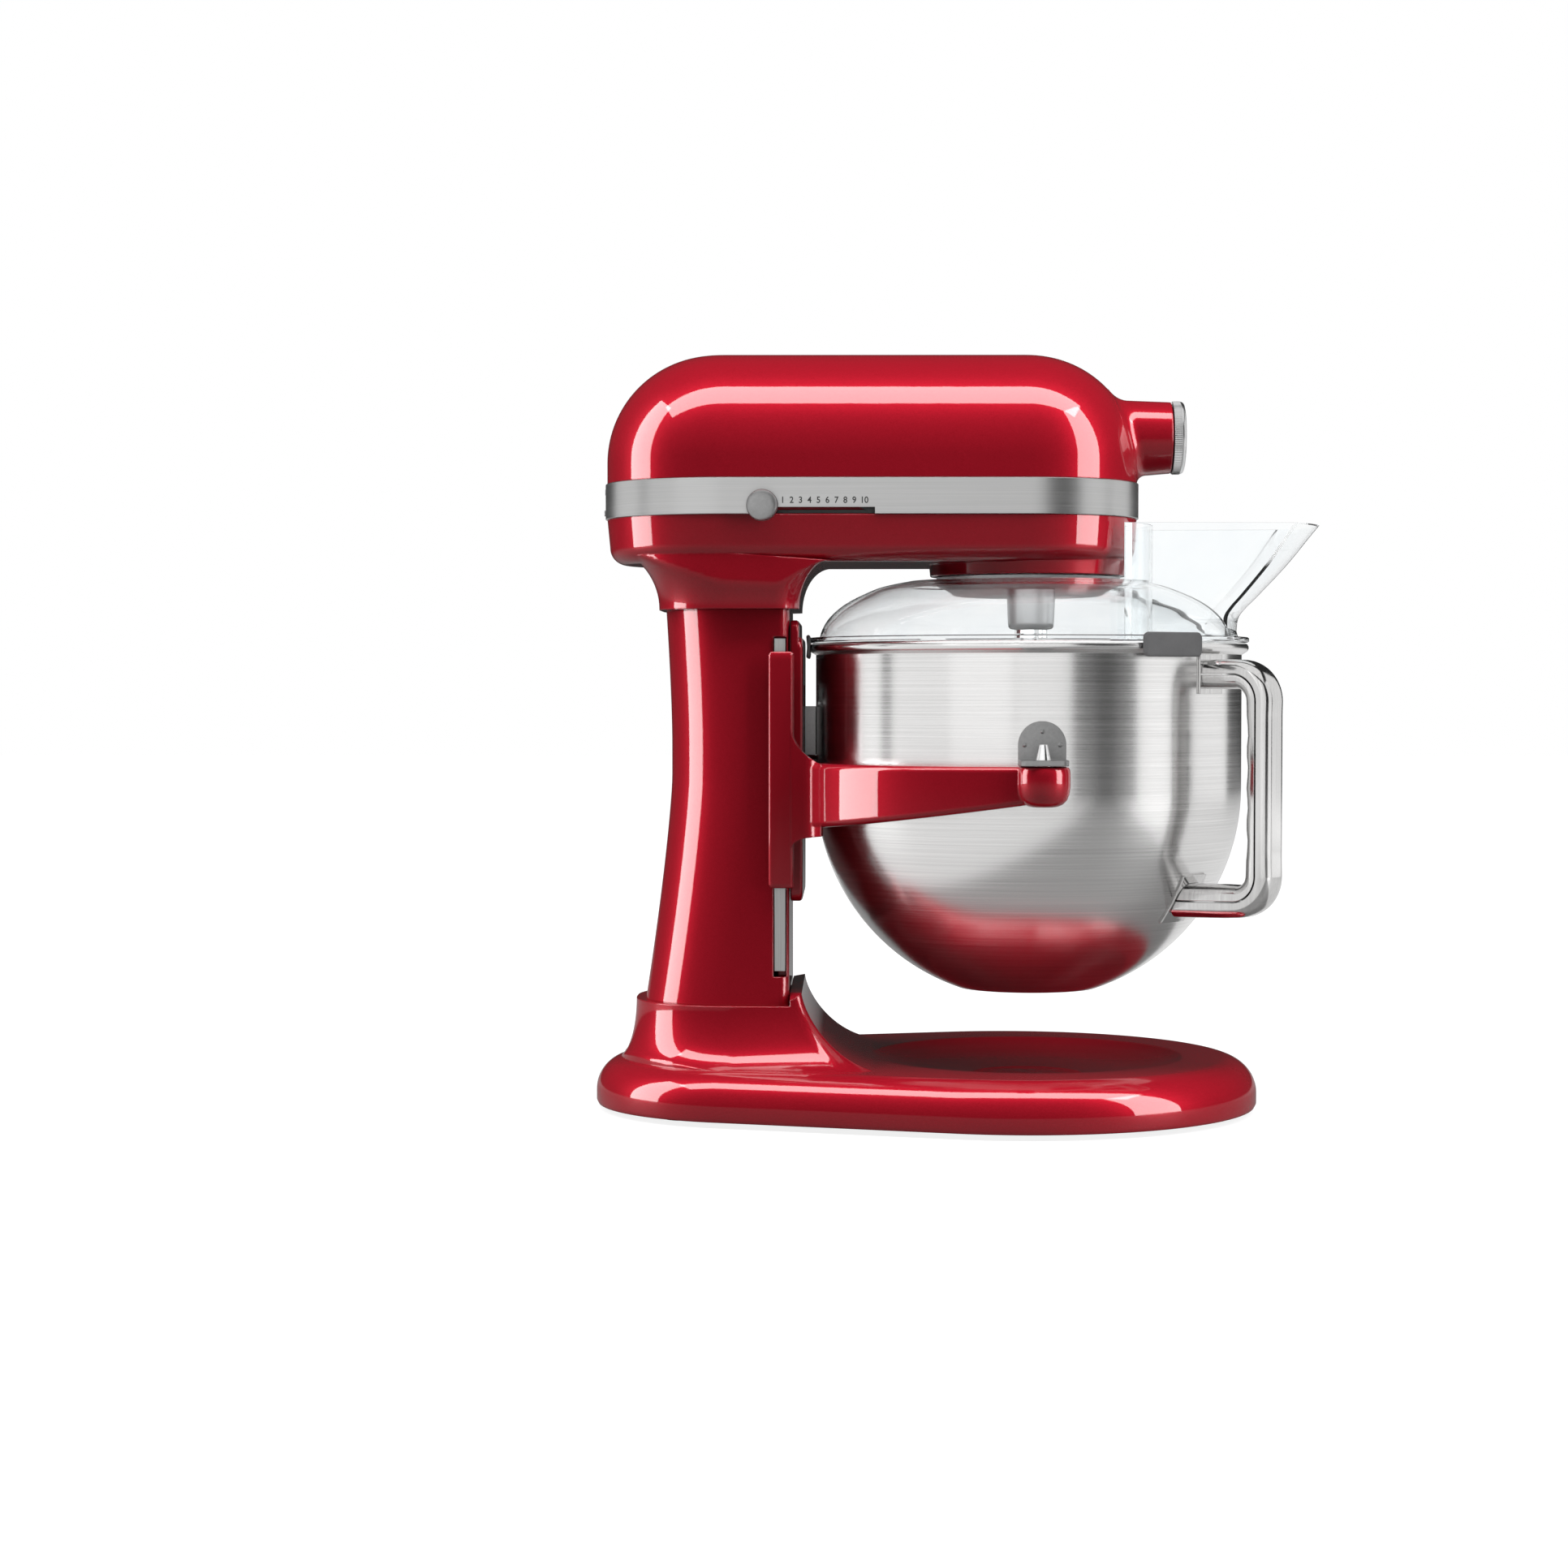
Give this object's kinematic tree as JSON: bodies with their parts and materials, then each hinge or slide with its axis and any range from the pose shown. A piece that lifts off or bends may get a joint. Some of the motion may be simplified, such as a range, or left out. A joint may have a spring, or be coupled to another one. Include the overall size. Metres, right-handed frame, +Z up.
{
  "type": "stand mixer",
  "caption": "Bowl-lift stand mixer: planetary beater drive, bowl on a sliding yoke worked by a side lever, pouring shield, speed slider and attachment hub.",
  "frame": {"origin": "on the floor, at the centre of the overall bounding box seen from above", "axes": "+X forward, from the column toward the bowl and the attachment hub; +Z up; +Y toward the lift lever's side"},
  "size_m": [0.4017, 0.287, 0.4187],
  "materials": {
    "paint_red": "glossy candy red enamel over die-cast aluminium",
    "stainless": "brushed",
    "band_metal": "satin brushed",
    "planetary_grey": "satin grey coating",
    "clear_shield": "clear polycarbonate",
    "rubber_grey": "matte",
    "rubber_black": "matte",
    "chrome_steel": "polished",
    "bare_steel": "ground",
    "gear_bronze": "machined",
    "cast_grey": "as cast",
    "plastic_black": "matte",
    "board_green": "satin"
  },
  "bodies": {
    "frame": {"base_casting": "paint_red", "rubber_feet": "rubber_black", "column_casting": "paint_red", "column_bolts": "bare_steel", "slide_rails": "bare_steel", "cord_gland": "plastic_black", "head_lower_housing": "paint_red", "head_upper_cover": "paint_red", "trim_band": "band_metal", "band_screws": "bare_steel", "cover_screws": "bare_steel", "head_bolts": "bare_steel", "gearcase_plate": "cast_grey", "shaft_bushes": "gear_bronze", "ring_gear": "bare_steel", "hub_sleeve": "bare_steel", "hub_hinge_pin": "chrome_steel", "motor_stator": "bare_steel", "motor_brackets": "cast_grey", "motor_bearings": "bare_steel", "brush_holders": "plastic_black", "control_board": "board_green", "lever_bushes": "gear_bronze"},
    "rotor": {"motor_shaft": "bare_steel", "armature": "bare_steel", "cooling_fan": "plastic_black", "worm": "bare_steel"},
    "intermediate": {"intermediate_shaft": "bare_steel", "worm_wheel": "gear_bronze"},
    "planetary": {"centre_shaft": "bare_steel", "centre_gear": "bare_steel", "crown_gear": "bare_steel", "planetary_hub": "planetary_grey"},
    "beater_drive": {"beater_shaft": "chrome_steel", "planet_pinion": "bare_steel", "shaft_collar": "chrome_steel", "shaft_cross_pin": "chrome_steel"},
    "hub_drive": {"hub_drive_shaft": "bare_steel", "hub_gear": "bare_steel"},
    "speed_control": {"speed_knob": "band_metal", "speed_slider": "plastic_black"},
    "hub_cap": {"hub_cover": "band_metal"},
    "clamp_knob": {"attachment_knob": "plastic_black"},
    "yoke": {"yoke_casting": "paint_red", "locating_pins": "chrome_steel", "bowl_latch_spring": "chrome_steel", "lift_lug": "bare_steel"},
    "lift_lever": {"lever_shaft": "bare_steel", "lever_arm": "chrome_steel", "lever_grip": "plastic_black", "crank_roller": "gear_bronze"},
    "bowl": {"bowl_shell": "stainless", "bowl_side_brackets": "stainless", "bowl_latch_bracket": "stainless", "handle_outer_shell": "stainless", "handle_inner_shell": "stainless", "handle_brackets": "stainless"},
    "shield": {"shield_dome": "clear_shield", "shield_chute": "clear_shield", "shield_pads": "rubber_grey"}
  },
  "joints": [
    {"name": "yoke_slide", "type": "slide", "parent": "frame", "child": "yoke", "axis": [0, 0, 1], "range_m": [-0.04, 0]},
    {"name": "lift_lever_turn", "type": "hinge", "parent": "frame", "child": "lift_lever", "pos_m": [-0.135, 0, 0.19], "axis": [0, 1, 0], "range_deg": [0, 100]},
    {"name": "bowl_lift_off", "type": "slide", "parent": "yoke", "child": "bowl", "axis": [0, 0, 1], "range_m": [0, 0.002]},
    {"name": "shield_turn", "type": "hinge", "parent": "bowl", "child": "shield", "pos_m": [0.04, 0, 0.26], "axis": [0, 0, 1], "range_deg": [-15, 15]},
    {"name": "planetary_spin", "type": "hinge", "parent": "frame", "child": "planetary", "pos_m": [0.04, 0, 0.3], "axis": [0, 0, 1], "continuous": true},
    {"name": "beater_spin", "type": "hinge", "parent": "planetary", "child": "beater_drive", "pos_m": [0.04, -0.03, 0.28], "axis": [0, 0, 1], "continuous": true},
    {"name": "intermediate_spin", "type": "hinge", "parent": "frame", "child": "intermediate", "pos_m": [-0.005, -0.03, 0.34], "axis": [0, 0, 1], "continuous": true},
    {"name": "motor_spin", "type": "hinge", "parent": "frame", "child": "rotor", "pos_m": [-0.1, 0, 0.362], "axis": [1, 0, 0], "continuous": true},
    {"name": "hub_drive_spin", "type": "hinge", "parent": "frame", "child": "hub_drive", "pos_m": [0.065, 0, 0.373], "axis": [1, 0, 0], "continuous": true},
    {"name": "speed_slide", "type": "slide", "parent": "frame", "child": "speed_control", "axis": [1, 0, 0], "range_m": [0, 0.0548]},
    {"name": "hub_cap_hinge", "type": "hinge", "parent": "frame", "child": "hub_cap", "pos_m": [0.1208, 0, 0.3916], "axis": [0, -1, 0], "range_deg": [0, 100]},
    {"name": "clamp_knob_turn", "type": "hinge", "parent": "frame", "child": "clamp_knob", "pos_m": [0.108, 0.03, 0.373], "axis": [0, 1, 0], "continuous": true}
  ],
  "couplings": [
    {"joint": "lift_lever_turn", "follows": "yoke_slide", "rad_per_m": -43.633},
    {"joint": "beater_spin", "follows": "planetary_spin", "ratio": -3.25},
    {"joint": "intermediate_spin", "follows": "planetary_spin", "ratio": -3},
    {"joint": "motor_spin", "follows": "planetary_spin", "ratio": 24},
    {"joint": "hub_drive_spin", "follows": "planetary_spin", "ratio": 1.0714}
  ]
}
